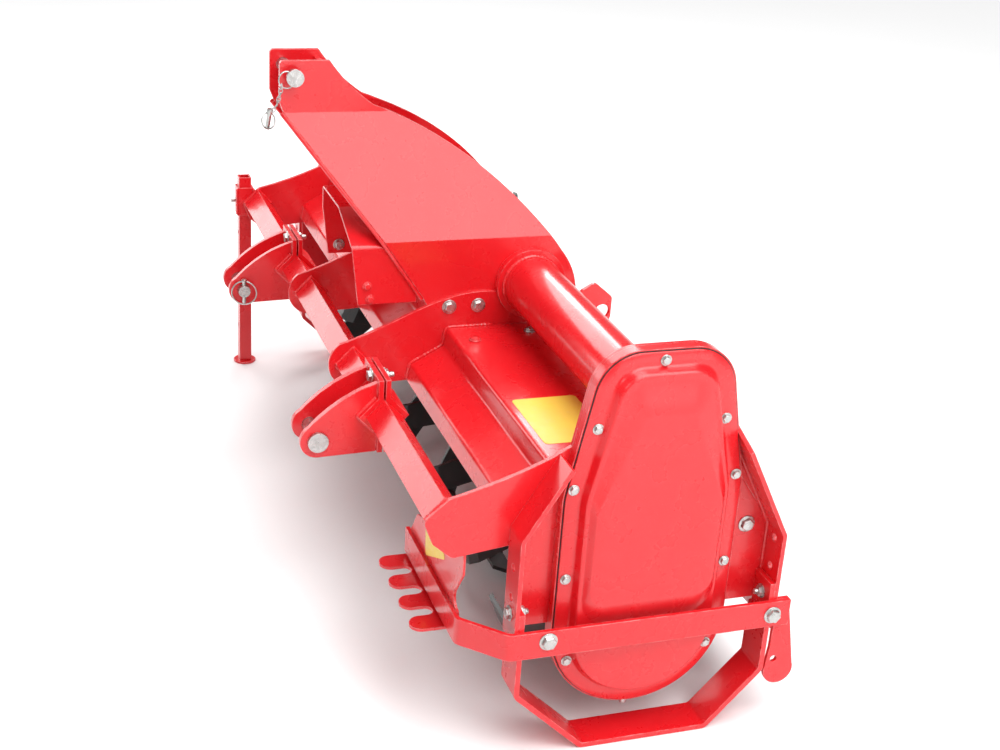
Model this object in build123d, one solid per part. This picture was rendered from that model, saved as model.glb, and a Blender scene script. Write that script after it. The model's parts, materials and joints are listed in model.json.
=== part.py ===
"""Rotary tiller for a tractor's three-point hitch, side driven, parked on its skids and stand.

Millimetres. +Z is up, -Y is the front (the tractor's side) and +X is the driven end.
The origin is on the ground, under the middle of the machine.
"""
import math
import os

from build123d import *

# Main frame
end_x = 881.0               # inner faces of the end plates, from the middle
plate = 8.0                 # thickness of the frame plates
bar_side = 50.0             # square toolbar, set on edge
bar_wall = 6.0
bar_y = -259.0
bar_z = 467.0
centre_x = 205.0            # inner faces of the two centre plates
corner_r = 12.0
bend = 2.0                  # bend radius of folded plates, in thicknesses

# Rotor
rotor_y = 117.0
rotor_z = 232.0
tip_r = 218.0               # reach of the tines
shaft_r = 38.0
rotor_end_gap = 24.0        # from the end plates to the shaft's ends
journal_r = 25.0
journal_room = 12.0         # round the journals, in the end plates
journal_back = 1.0          # journals' ends, inside their bearings
running_fit = 0.05
disc_r = 105.0
disc_t = 8.0
disc_count = 7
disc_edge = 90.0            # from the shaft's ends to the outer discs
tines_per_disc = 6
tine_t = 8.0
tine_width = 56.0
tine_sweep = 26.0           # how far the cutting edge trails at the tip
tine_leg = 112.0            # length of the bent leg, along the rotor
tine_bend_r = 26.0
tine_root_r = 62.0
tine_bow = 9.0              # how far the cutting edge bows out

# Drive along the top and down the driven end
axle_z = 625.0
axle_r = 60.0
ring_r = 75.0
ring_t = 18.0
case_t = 20.0
case_y = 110.0              # middle of the drive case
case_half = 170.0
case_top_half = 118.0
case_top_z = 766.0
case_shoulder_z = 500.0
case_low_z = 62.0
case_top_r = 85.0
case_shoulder_r = 150.0
case_foot_flat = 2.0        # straight left between the lower corners
hub_r = 110.0               # bearing lobe of the plain end
hub_cap_r = 70.0
hub_cap_t = 28.0
cover_rim = 4.0             # how far the case shows round the cover
cover_t = 4.0
cover_step = 26.0           # flat flange round the cover's raised part
cover_dish = 19.0           # depth of the cover's dish
cover_draft = 7.0           # how far the dish's wall leans in
cover_raise = 13.0          # raised panel, above the dish
cover_foot_low_z = 245.0
cover_foot_low_r = 60.0
cover_panel_half = 122.0
cover_panel_top_half = 49.0
cover_panel_top_z = 655.0
cover_panel_shoulder_z = 485.0
cover_panel_low_z = 298.0
cover_panel_top_r = 14.0
cover_panel_shoulder_r = 60.0
cover_panel_low_r = 35.0
end_top_r = 78.0            # end plates round the axle

# Outline of the end plates' arms, from the toolbar's middle
arm_brow = (3.0, 41.0)
arm_dip = (52.0, 54.0)
arm_crest = (184.0, 103.0)
arm_heel = (13.0, -73.0)
arm_chin = (-22.0, -42.0)
arm_tip = (-40.0, 2.0)
arm_foot_rise = 168.0       # where the arm leaves the front flange, above its low end

# Outline of the centre plates, from the toolbar's middle
centre_nose = (-28.0, 45.0)
centre_mouth = (-50.0, -8.0)
centre_chin = (20.0, -50.0)
centre_sag_run = 59.0
centre_sag_rise = 9.0       # these heights are over the deck
centre_crest_run = 12.0
centre_crest_rise = 61.0
centre_step_run = 60.0
centre_step_rise = 73.0

# Hood
sheet = 5.0
hood_lip_y = -143.0
hood_lip_z = 422.0
ledge_front_y = -137.0
ledge_front_z = 459.0
ledge_rear_y = -68.0
ledge_rear_z = 496.0
deck_front_y = -62.0
deck_z = 535.0
deck_rear_y = 246.0
hood_tail_z = 495.0

# Mast and hitch
mast_top_x = 57.0           # outer faces of the mast plates at the top
mast_nose = 27.0            # front edge of the mast's head, before the top pin
mast_over = 30.0            # top of the mast's head, above the top pin
mast_head = 101.0           # length of the mast's head
mast_neck = 94.0            # sweep from the head down to the back
mast_bend_down = 75.0       # upper bend, below the top pin
mast_bend_low_z = 724.0
mast_low_front_y = -198.0
mast_foot_z = 545.0
mast_foot_front_y = -84.0
mast_rear_y = 225.0
mast_crest_y = 12.0
mast_flange_depth = 35.0
mast_flange_t = 10.0
mast_corner_r = 8.0
mast_throat = 18.0          # front edge at the upper bend, before the top pin
mast_chin = 23.0            # front edge's corner, above the upper bend
mast_kick_run = 27.0        # slope at the foot of the front edge
mast_kick_rise = 53.0
mast_side_rise = 55.0       # upright part of the rear edge
mast_shoulder_run = 39.0
mast_shoulder_drop = 34.0
mast_belly_run = 11.0
mast_belly_drop = 80.0
mast_crest_rise = 138.6     # crest of the rear edge, above the lower bend
mast_neck_run = 42.3        # middle of the neck's sweep
mast_neck_drop = 50.0
mast_neck_foot = 13.0
mast_tie_t = 10.0
mast_tie_height = 75.0
mast_tie_down = 15.0
top_pin_y = -358.0
top_pin_z = 1030.0
top_pin_r = 12.5
top_pin_over = 18.0
top_pin_head_r = 17.5
lower_pin_x = 413.0         # half the spread of the lower hitch points
lower_pin_y = -385.0
lower_pin_z = 420.0
lower_pin_r = 14.0
pin_over = 16.0
pin_head_r = 20.0
pin_head_t = 8.0
pin_play = 0.3
clevis_pitch = 80.0
clevis_t = 12.0
clevis_nose_r = 34.0
clevis_rise = 66.0          # rear of the leaves, over and under the toolbar's middle
clevis_drop = 78.0
clevis_crown = 12.5         # how far the leaves' upper edge bulges
clamp_t = 10.0
clamp_length = 116.0
clamp_gap = 4.0
clamp_tab = 40.0

# Guards and skids of the ends
flange_width = 60.0
flange_front_y = -144.0
flange_rear_y = 365.0
flange_low_z = 240.0
flange_front_rise = 205.0   # upright part of the front flange, then its lean to the rear
flange_front_top = 335.0
flange_front_lean = 80.0
flange_rear_rise = 160.0    # upright part of the rear flange, then its lean to the front
flange_rear_top = 335.0
flange_rear_lean = 91.0
flange_hole_r = 8.0
flange_hole_z = 322.0
flange_hole_pitch = 58.0
guard_t = 8.0
guard_height = 52.0
guard_low_z = 215.0
guard_rear_y = 389.0
guard_lead = 7.0            # guard bar's first bend, before the front flange
guard_bend_run = 71.0
guard_front_run = 328.0     # guard bar's length along the front, past its bend
panel_low_z = 201.0
panel_side_drop = 14.0      # inner edge of the panel, below the guard bar's top
panel_slope_run = 46.0
panel_slope_rise = 51.0
panel_arm_low = 85.0        # panel's edge at the arm, above the guard bar
panel_arm_high = 148.0
panel_neck_run = 52.0
panel_neck_rise = 8.0
panel_neck_r = 20.0
comb_teeth = 4
comb_pitch = 73.0
comb_tooth_width = 44.0
comb_web = 10.0
comb_reach = 64.0
comb_t = 6.0
skid_t = 10.0
skid_width = 70.0
skid_leg_z = 300.0
skid_knee_z = 130.0
skid_heel_drop = 15.0       # rear knee, below the front one
skid_sole_front_y = 0.0
skid_sole_rear_y = 252.0

# Shield over the drive input, and the input shaft
shield_t = 4.0
shield_top_x = 75.0         # half the width of its top, over the shaft
shield_top_z = 762.0
shield_shoulder_z = 714.0   # where it comes down along the left mast plate
shield_low_z = 590.0
shield_far_low_z = 608.0
shield_front_y = -264.0
shield_rake = 16.0          # how far its front edges slope back
shield_rear_y = -125.0
stub_r = 17.5
stub_length = 85.0
stub_collar_r = 20.0

# Gearbox
box_half_x = 105.0
box_front_y = -60.0
box_rear_y = 190.0
box_height = 195.0
box_corner = 10.0
box_front_step = 8.0        # shoulder over the input neck
box_front_slope = 50.0
box_rear_slope = 60.0
box_rear_step = 40.0
neck_r = 70.0
input_r = 58.0
input_length = 60.0

# Parking stand
leg_side = 32.0
leg_wall = 4.0
leg_play = 0.3
sleeve_wall = 5.0
sleeve_low_z = 431.0
sleeve_high_z = 507.0
stand_y = -290.0
leg_top_z = 534.0
foot_r = 46.5
foot_t = 6.0
leg_hole_r = 6.0
leg_holes = 5
leg_hole_pitch = 90.0
stand_pin_r = 6.0
stand_pin_length = 14.0

# Rear board and its rods
hinge_y = 262.0
hinge_z = 505.0
hinge_r = 8.0
hinge_fit = 0.05
knuckle_r = 14.0
knuckle_length = 60.0
knuckle_spots = (-720.0, 0.0, 720.0)
lug_t = 8.0
lug_gap = 1.0
board_low_y = 405.0
board_low_z = 150.0
board_end_gap = 13.0        # from the end plates to the board
board_lip_y = 417.0
board_lip_z = 142.0
rod_x = 600.0
rod_r = 7.0
rod_down = 260.0            # from the hinge to the rods' feet, along the board
rod_off = 30.0              # from the board to the rods' feet
rod_over = 34.0
rod_eye_r = 14.0
rod_eye_width = 18.0
rod_pin_r = 6.0
rod_collar_r = 16.0
rod_collar_t = 10.0
ear_t = 6.0
eye_y = 268.0
eye_z = 580.0
eye_t = 8.0
eye_width = 60.0
eye_length = 66.0
eye_hole_r = 13.0
post_front = 70.0           # foot and head of the eyes' posts, before the eyes
post_head_front = 36.0
post_head_rear = 18.0
post_head_drop = 14.0

# Lifting lugs behind the axle, and ears behind the skids
lift_x = 305.0
lift_front_y = 192.0
lift_length = 72.0
lift_height = 119.0
lift_front_rise = 101.0
lift_crest_run = 32.0
lift_rear_low = 42.0
lift_rear_high = 86.0
lift_hole_run = 52.0
lift_hole_rise = 54.0
lift_hole_r = 16.0
ear_length = 54.0
ear_drop = 104.0
ear_width = 60.0
ear_neck = 24.0
ear_hole_run = 11.0
ear_hole_drop = 79.0
ear_hole_r = 7.0

end_out = end_x + plate
guard_x = end_out + flange_width
board_half_x = end_x - board_end_gap
mast_top_z = top_pin_z + mast_over
mast_bend_high_z = top_pin_z - mast_bend_down
bar_half = bar_side / math.sqrt(2)
shaft_end = end_x - rotor_end_gap

parts = {}


def polygon(points):
    return make_face(Polyline(*points, close=True))


def disc(y, z, radius):
    return Pos(y, z) * Circle(radius)


def along_x(face, x_from, x_to):
    """A piece of one section, drawn in Y and Z, that runs along the machine."""
    return extrude(Plane.YZ.offset(x_from) * face, x_to - x_from, dir=(1, 0, 0))


def across(face, x_from, thickness):
    """A plate that stands across the machine, drawn in Y and Z."""
    return along_x(face, x_from, x_from + thickness)


def rod_x_way(y, z, radius, x_from, x_to):
    return along_x(disc(y, z, radius), x_from, x_to)


def creased(points, thickness):
    """Section of a strip with sharp bends: its outer line, with the thickness on the left of the way."""
    return make_face(offset(Polyline(*points), amount=thickness, side=Side.LEFT))


def folded(points, thickness):
    """The same section with round bends."""
    line = FilletPolyline(*points, radius=bend * thickness)
    return make_face(offset(line, amount=thickness, side=Side.LEFT))


def mirrored(solid):
    return mirror(solid, about=Plane.YZ)


def both_sides(name, solid):
    parts[name + "_left"] = solid
    parts[name + "_right"] = mirrored(solid)


def pair(name, solid):
    parts[name] = Compound(children=[solid, mirrored(solid)])


def diamond(half):
    return Pos(bar_y, bar_z) * polygon([(-half, 0), (0, half), (half, 0), (0, -half)])


def by_bar(place):
    return (bar_y + place[0], bar_z + place[1])


def rounded(corners):
    """Outline through corners (y, z, radius), each rounded by its own radius."""
    face = polygon([(y, z) for y, z, radius in corners])
    for y, z, radius in corners:
        face = fillet(face.vertices().sort_by_distance((y, z))[0], radius)
    return face


def shouldered(half, top_half, low, shoulder, top):
    """Outline about the drive case's middle; each height comes with its corners' radius."""
    return rounded([
        (case_y - half, *low),
        (case_y + half, *low),
        (case_y + half, *shoulder),
        (case_y + top_half, *top),
        (case_y - top_half, *top),
        (case_y - half, *shoulder),
    ])


def case_outline(inset):
    """Outline of the drive case, drawn in by so much all round."""
    half = case_half - inset
    return shouldered(
        half,
        case_top_half - inset,
        (case_low_z + inset, half - case_foot_flat / 2),
        (case_shoulder_z, case_shoulder_r),
        (case_top_z - inset, case_top_r - inset),
    )


hood_line = [
    (hood_lip_y, hood_lip_z),
    (ledge_front_y, ledge_front_z),
    (ledge_rear_y, ledge_rear_z),
    (deck_front_y, deck_z),
    (deck_rear_y, deck_z),
    (deck_rear_y, hood_tail_z),
]

# Toolbar
bar_face = diamond(bar_half) - diamond(bar_half - bar_wall * math.sqrt(2))
parts["toolbar"] = along_x(bar_face, -end_x, end_x)

# End plates, each with the arm that carries the toolbar's end
arm_foot_z = flange_low_z + arm_foot_rise
arm_nose = [by_bar(arm_heel), by_bar(arm_chin), by_bar(arm_tip)]
arm_line = Curve() + [
    Spline(by_bar(arm_brow), by_bar(arm_dip), by_bar(arm_crest)),
    Polyline(
        by_bar(arm_crest),
        (rotor_y - end_top_r, axle_z + plate),
        (rotor_y + end_top_r, axle_z + plate),
        (flange_rear_y - plate, flange_low_z + flange_rear_rise),
        (flange_rear_y - plate, flange_low_z),
        (flange_front_y + plate, flange_low_z),
        (flange_front_y + plate, arm_foot_z),
        *arm_nose,
        by_bar(arm_brow),
    ),
]
arm_and_side = make_face(arm_line) + disc(rotor_y, axle_z, end_top_r)
for corner in arm_nose:
    arm_and_side = fillet(arm_and_side.vertices().sort_by_distance(corner)[0], corner_r)
journal_hole = disc(rotor_y, rotor_z, journal_r + journal_room)
case_face = case_outline(0)
bearing_lobe = disc(rotor_y, rotor_z, hub_r)
parts["end_plate_left"] = across(arm_and_side + case_face - journal_hole, end_x, plate)
parts["end_plate_right"] = across(arm_and_side + bearing_lobe - journal_hole, -end_out, plate)

# Flanges that stand out along the front and rear edges of the end plates
front_flange = folded(
    [
        (flange_front_y + flange_front_lean, flange_low_z + flange_front_top),
        (flange_front_y, flange_low_z + flange_front_rise),
        (flange_front_y, flange_low_z),
    ],
    plate,
)
rear_flange = folded(
    [
        (flange_rear_y, flange_low_z),
        (flange_rear_y, flange_low_z + flange_rear_rise),
        (flange_rear_y - flange_rear_lean, flange_low_z + flange_rear_top),
    ],
    plate,
)
flanges = along_x(front_flange, end_out, guard_x) + along_x(rear_flange, end_out, guard_x)
flange_mid = (flange_front_y + flange_rear_y) / 2
for hole_z in (flange_hole_z, flange_hole_z + flange_hole_pitch):
    flange_hole = Rot(90, 0, 0) * Cylinder(flange_hole_r, 2 * (flange_rear_y - flange_front_y))
    flanges -= Pos(end_out + flange_width / 2, flange_mid, hole_z) * flange_hole
both_sides("end_flange", flanges)

# Hood over the rotor
hood_face = folded(hood_line[::-1], sheet)
parts["hood"] = along_x(hood_face, -end_x, end_x)

# Centre plates, standing on the hood and round the toolbar
ring_room = disc(rotor_y, axle_z, ring_r)
centre_step_z = deck_z + centre_step_rise
centre_step = (rotor_y - centre_step_run, centre_step_z)
centre_crest = (deck_front_y - centre_crest_run, deck_z + centre_crest_rise)
centre_sag = (bar_y + centre_sag_run, deck_z + centre_sag_rise)
centre_line = Curve() + [
    Polyline(by_bar(centre_chin), *hood_line[:4], (rotor_y, deck_z), (rotor_y, centre_step_z), centre_step),
    Spline(centre_step, centre_crest, centre_sag, by_bar(centre_nose)),
    ThreePointArc(by_bar(centre_nose), by_bar(centre_mouth), by_bar(centre_chin)),
]
centre_face = make_face(centre_line) - hood_face - diamond(bar_half) - ring_room
both_sides("centre_plate", across(centre_face, centre_x, plate))

# Mast: two mirrored plates, each bent twice so that they close up at the top
mast_bends = [(centre_x, mast_bend_low_z), (mast_top_x, mast_bend_high_z)]
mast_section = creased([(centre_x, mast_foot_z), *mast_bends, (mast_top_x, mast_top_z)], plate)
nose_y = top_pin_y - mast_nose
head_rear = (nose_y + mast_head, mast_top_z)
neck_mid = (head_rear[0] + mast_neck_run, mast_top_z - mast_neck_drop)
neck_foot = (head_rear[0] + mast_neck, mast_bend_high_z + mast_neck_foot)
crest = (mast_crest_y, mast_bend_low_z + mast_crest_rise)
mast_shoulder = (mast_rear_y - mast_shoulder_run, mast_bend_low_z - mast_shoulder_drop)
mast_belly = (mast_rear_y - mast_belly_run, mast_bend_low_z - mast_belly_drop)
mast_low = (mast_low_front_y, mast_bend_low_z)
mast_high = (top_pin_y - mast_throat, mast_bend_high_z)
mast_side = (mast_rear_y, mast_foot_z + mast_side_rise)
mast_line = Curve() + [
    Polyline(
        mast_side,
        (mast_rear_y, mast_foot_z),
        (mast_foot_front_y, mast_foot_z),
        (mast_foot_front_y - mast_kick_run, mast_foot_z + mast_kick_rise),
        mast_low,
        mast_high,
        (nose_y, mast_bend_high_z + mast_chin),
        (nose_y, mast_top_z),
        head_rear,
    ),
    ThreePointArc(head_rear, neck_mid, neck_foot),
    ThreePointArc(neck_foot, crest, mast_shoulder),
    ThreePointArc(mast_shoulder, mast_belly, mast_side),
]
mast_face = make_face(mast_line)
mast_face = fillet(mast_face.vertices().sort_by_distance((nose_y, mast_top_z))[0], mast_corner_r)
mast_depth = mast_rear_y - nose_y
mast_front = Plane.XZ.offset(-mast_rear_y)
mast = extrude(mast_front * mast_section, mast_depth, dir=(0, -1, 0)) & along_x(mast_face, 0, centre_x)
mast -= rod_x_way(top_pin_y, top_pin_z, top_pin_r + pin_play, 0, centre_x)

# Flange turned in along the mast's front edge, between its bends
fold_face = polygon([
    mast_low,
    mast_high,
    (mast_high[0] + mast_flange_t, mast_bend_high_z),
    (mast_low[0] + mast_flange_t, mast_bend_low_z),
])
fold = extrude(mast_front * creased(mast_bends, mast_flange_depth), mast_depth, dir=(0, -1, 0))
mast_fold = fold & along_x(fold_face, 0, centre_x)
both_sides("mast_plate", mast + mast_fold)

mast_inside = mast_top_x - plate
tie_y = head_rear[0] - mast_tie_t
tie_top_z = mast_top_z - mast_tie_down
tie_face = polygon([
    (tie_y, tie_top_z - mast_tie_height),
    (tie_y + mast_tie_t, tie_top_z - mast_tie_height),
    (tie_y + mast_tie_t, tie_top_z),
    (tie_y, tie_top_z),
])
parts["mast_tie"] = along_x(tie_face, -mast_inside, mast_inside)
pin_reach = mast_top_x + top_pin_over
top_pin = rod_x_way(top_pin_y, top_pin_z, top_pin_r, -pin_reach, pin_reach)
top_pin += rod_x_way(top_pin_y, top_pin_z, top_pin_head_r, pin_reach, pin_reach + pin_head_t)
parts["top_link_pin"] = top_pin

# Gearbox between the mast plates
box_top_z = deck_z + box_height
gearbox_face = polygon([
    (box_front_y, deck_z),
    (box_front_y, axle_z + input_r + box_front_step),
    (box_front_y + box_front_slope, box_top_z),
    (box_rear_y - box_rear_slope, box_top_z),
    (box_rear_y, axle_z + box_rear_step),
    (box_rear_y, deck_z),
])
gearbox = along_x(gearbox_face, -box_half_x, box_half_x)
box_ends = gearbox.faces().sort_by(Axis.X)
gearbox = chamfer(box_ends[0].edges() + box_ends[-1].edges(), box_corner)
mast_foot_x = centre_x - plate
gearbox += rod_x_way(rotor_y, axle_z, neck_r, -mast_foot_x, mast_foot_x)
input_face = Plane.XZ.offset(-box_front_y)
gearbox += extrude(input_face * Pos(0, axle_z) * Circle(input_r), input_length, dir=(0, -1, 0))
stub_bore = input_face * Pos(0, axle_z) * Circle(stub_collar_r + running_fit)
parts["gearbox"] = gearbox - extrude(stub_bore, input_length, dir=(0, -1, 0))

# Axle tube to the driven end, and the plain support tube of the other end
axle = rod_x_way(rotor_y, axle_z, axle_r, centre_x, end_x)
ring = rod_x_way(rotor_y, axle_z, ring_r, centre_x, centre_x + ring_t)
both_sides("axle_tube", axle + ring)

# Drive case and its dished cover
journal_bore = disc(rotor_y, rotor_z, journal_r + running_fit)
parts["drive_case"] = across(case_face - journal_bore, end_out, case_t)
case_out = end_out + case_t
cover_out = case_out + cover_t
dish_inset = cover_rim + cover_step
dish_top_inset = dish_inset + cover_draft
dish_out = cover_out + cover_dish
raised_foot = shouldered(
    case_half - dish_top_inset,
    case_top_half - dish_top_inset,
    (cover_foot_low_z, cover_foot_low_r),
    (case_shoulder_z, case_shoulder_r),
    (case_top_z - dish_top_inset, case_top_r - dish_top_inset),
)
raised_panel = shouldered(
    cover_panel_half,
    cover_panel_top_half,
    (cover_panel_low_z, cover_panel_low_r),
    (cover_panel_shoulder_z, cover_panel_shoulder_r),
    (cover_panel_top_z, cover_panel_top_r),
)
dish_lean = math.degrees(math.atan2(cover_draft, cover_dish))
dish_face = Plane.YZ.offset(cover_out) * case_outline(dish_inset)
raised_foot = Plane.YZ.offset(dish_out) * raised_foot
raised_panel = Plane.YZ.offset(dish_out + cover_raise) * raised_panel
cover = across(case_outline(cover_rim), case_out, cover_t)
cover += extrude(dish_face, cover_dish, dir=(1, 0, 0), taper=dish_lean)
parts["drive_cover"] = cover + loft([raised_foot, raised_panel], ruled=True)

# Bearing cap of the plain end
cap_face = disc(rotor_y, rotor_z, hub_cap_r) - journal_bore
parts["bearing_cap"] = across(cap_face, -end_out - hub_cap_t, hub_cap_t)

# Guard bar past the driven end, bent in to the front
bend_x = guard_x - guard_bend_run
guard_bend_y = flange_front_y - guard_lead
bend_end_y = guard_bend_y - guard_bend_run
guard_inner_x = bend_x - guard_front_run
guard_plan = folded(
    [
        (guard_x, guard_rear_y),
        (guard_x, guard_bend_y),
        (bend_x, bend_end_y),
        (guard_inner_x, bend_end_y),
    ],
    guard_t,
)
parts["guard_bar"] = extrude(Plane.XY.offset(guard_low_z) * guard_plan, guard_height, dir=(0, 0, 1))

# Guard panel behind the bar, up to the arm
guard_top_z = guard_low_z + guard_height
panel_end_x = bend_x - bend * guard_t
panel_neck = (bend_x - panel_neck_run, guard_top_z + panel_neck_rise)
panel_sheet = polygon([
    (panel_end_x, panel_low_z),
    (guard_inner_x, panel_low_z),
    (guard_inner_x, guard_top_z - panel_side_drop),
    (guard_inner_x + panel_slope_run, guard_top_z + panel_slope_rise),
    (end_x, guard_top_z + panel_arm_high),
    (end_x, guard_top_z + panel_arm_low),
    panel_neck,
    (panel_end_x, guard_top_z),
])
panel_sheet = fillet(panel_sheet.vertices().sort_by_distance(panel_neck)[0], panel_neck_r)
panel_plane = Plane.XZ.offset(-bend_end_y)
parts["guard_panel"] = extrude(panel_plane * panel_sheet, sheet, dir=(0, 1, 0))

# Comb of round-ended prongs, under the guard bar and out from the panel
gap_r = (comb_pitch - comb_tooth_width) / 2
comb_first_x = guard_inner_x + comb_tooth_width / 2
comb_width = (comb_teeth - 1) * comb_pitch + comb_tooth_width
comb_tip_y = bend_end_y - comb_reach + comb_tooth_width / 2
comb = Rectangle(comb_width, comb_web + gap_r, align=(Align.MIN, Align.MAX))
comb = Pos(guard_inner_x, bend_end_y) * comb
for tooth in range(comb_teeth):
    tooth_x = comb_first_x + tooth * comb_pitch
    comb += Pos(tooth_x, comb_tip_y) * Circle(comb_tooth_width / 2)
    comb += Pos(tooth_x, comb_tip_y) * Rectangle(
        comb_tooth_width, bend_end_y - comb_tip_y, align=(Align.CENTER, Align.MIN)
    )
for gap in range(comb_teeth - 1):
    comb -= Pos(comb_first_x + (gap + 0.5) * comb_pitch, bend_end_y - comb_web - gap_r) * Circle(gap_r)
parts["guard_comb"] = extrude(Plane.XY.offset(panel_low_z) * comb, comb_t, dir=(0, 0, 1))

# Skids under the ends
skid_line = [
    (flange_front_y + plate, skid_leg_z),
    (flange_front_y + plate, skid_knee_z),
    (skid_sole_front_y, 0),
    (skid_sole_rear_y, 0),
    (flange_rear_y - plate, skid_knee_z - skid_heel_drop),
    (flange_rear_y - plate, skid_leg_z),
]
skid = along_x(folded(skid_line, skid_t), guard_x - skid_width, guard_x)
leg_notch = Pos(end_out, rotor_y, flange_low_z - corner_r) * Box(
    2 * skid_width, 2 * end_x, skid_leg_z, align=(Align.MAX, Align.CENTER, Align.MIN)
)
both_sides("skid", skid - leg_notch)

# Hitch clevises, clamped on the toolbar
clamp_half = bar_half + clamp_t * math.sqrt(2)
clamp_side = 2 * (clamp_half + clamp_tab)
front_side = Rectangle(clamp_side, clamp_side, align=(Align.MAX, Align.CENTER))
front_side = Pos(bar_y - clamp_gap / 2, bar_z) * front_side
rear_side = Rectangle(clamp_side, clamp_side, align=(Align.MIN, Align.CENTER))
rear_side = Pos(bar_y + clamp_gap / 2, bar_z) * rear_side
clamp_ring = diamond(clamp_half)
clamp_ring += Pos(bar_y, bar_z) * Rectangle(2 * clamp_t + clamp_gap, 2 * (bar_half + clamp_tab))
clamp_ring -= diamond(bar_half)
clamp_from = lower_pin_x - clamp_length / 2
clamp_to = lower_pin_x + clamp_length / 2
pair("clamp_backs", along_x(clamp_ring & rear_side, clamp_from, clamp_to))

nose = disc(lower_pin_y, lower_pin_z, clevis_nose_r)
leaf_rear_y = bar_y - clamp_gap / 2 - clamp_t
leaf_front = (lower_pin_y - clevis_nose_r / 2, lower_pin_z + clevis_nose_r * math.sqrt(3) / 2)
leaf_top = (leaf_rear_y, bar_z + clevis_rise)
leaf_mid = ((leaf_front[0] + leaf_top[0]) / 2, (leaf_front[1] + leaf_top[1]) / 2 + clevis_crown)
leaf_low = (leaf_rear_y, bar_z - clevis_drop)
leaf_chin = (lower_pin_y, lower_pin_z - clevis_nose_r)
leaf_line = Curve() + [
    ThreePointArc(leaf_front, leaf_mid, leaf_top),
    Polyline(leaf_top, leaf_low, leaf_chin, leaf_front),
]
pin_room = disc(lower_pin_y, lower_pin_z, lower_pin_r + pin_play)
leaf_face = make_face(leaf_line) + nose - diamond(clamp_half) - pin_room
leaf_from = lower_pin_x - clevis_pitch / 2 - clevis_t / 2
leaf_out = lower_pin_x + clevis_pitch / 2 - clevis_t / 2
clevis = along_x(clamp_ring & front_side, clamp_from, clamp_to)
clevis += across(leaf_face, leaf_from, clevis_t)
clevis += across(leaf_face, leaf_out, clevis_t)
both_sides("hitch_clevis", clevis)

pin_from = leaf_from - pin_over
pin_to = leaf_out + clevis_t
hitch_pin = rod_x_way(lower_pin_y, lower_pin_z, lower_pin_r, pin_from, pin_to)
hitch_pin += rod_x_way(lower_pin_y, lower_pin_z, pin_head_r, pin_to, pin_to + pin_head_t)
both_sides("hitch_pin", hitch_pin)

# Shield over the input shaft
shield_section = folded(
    [
        (mast_foot_x, shield_low_z),
        (mast_foot_x, shield_shoulder_z),
        (shield_top_x, shield_top_z),
        (-shield_top_x, shield_top_z),
        (-shield_top_x, shield_far_low_z),
    ],
    shield_t,
)
shield_plane = Plane.XZ.offset(-shield_rear_y)
shield = extrude(shield_plane * shield_section, shield_rear_y - shield_front_y, dir=(0, -1, 0))
rake_cut = polygon([
    (shield_front_y, shield_shoulder_z),
    (shield_front_y, shield_low_z),
    (shield_front_y + shield_rake, shield_low_z),
])
parts["input_shield"] = shield - along_x(rake_cut, -centre_x, centre_x) - mast_fold

# Stand sleeve on the plain end's arm
sleeve_side = leg_side + 2 * leg_play + 2 * sleeve_wall
stand_x = -end_out - sleeve_side / 2
sleeve_room = leg_side + 2 * leg_play
sleeve_face = Rectangle(sleeve_side, sleeve_side) - Rectangle(sleeve_room, sleeve_room)
sleeve_face = Plane.XY.offset(sleeve_low_z) * Pos(stand_x, stand_y) * sleeve_face
parts["stand_sleeve"] = extrude(sleeve_face, sleeve_high_z - sleeve_low_z, dir=(0, 0, 1))
stand_pin_z = (sleeve_low_z + sleeve_high_z) / 2
stand_pin_plane = Plane.XZ.offset(-stand_y + sleeve_side / 2)
stand_pin_face = stand_pin_plane * Pos(stand_x, stand_pin_z) * Circle(stand_pin_r)
parts["stand_pin"] = extrude(stand_pin_face, stand_pin_length, dir=(0, -1, 0))

# Stand leg and foot
leg_hollow = leg_side - 2 * leg_wall
leg_face = Rectangle(leg_side, leg_side) - Rectangle(leg_hollow, leg_hollow)
leg_face = Plane.XY.offset(foot_t) * Pos(stand_x, stand_y) * leg_face
leg = extrude(leg_face, leg_top_z - foot_t, dir=(0, 0, 1))
for step in range(leg_holes):
    hole_z = stand_pin_z - step * leg_hole_pitch
    leg -= Pos(stand_x, stand_y, hole_z) * Rot(90, 0, 0) * Cylinder(leg_hole_r, 2 * leg_side)
parts["stand_leg"] = leg
parts["stand_foot"] = extrude(Pos(stand_x, stand_y) * Circle(foot_r), foot_t, dir=(0, 0, 1))

# Rotor: shaft with its journals, discs and L-shaped tines
journal_near = case_out - journal_back
journal_far = -end_out - hub_cap_t + journal_back
shaft = rod_x_way(rotor_y, rotor_z, shaft_r, -shaft_end, shaft_end)
shaft += rod_x_way(rotor_y, rotor_z, journal_r, journal_far, journal_near)
parts["rotor_shaft"] = shaft

disc_face = disc(rotor_y, rotor_z, disc_r) - disc(rotor_y, rotor_z, shaft_r)
disc_span = 2 * (shaft_end - disc_edge)
disc_xs = [-disc_span / 2 + step * disc_span / (disc_count - 1) for step in range(disc_count)]
parts["rotor_discs"] = Compound(children=[across(disc_face, x - disc_t / 2, disc_t) for x in disc_xs])

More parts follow.
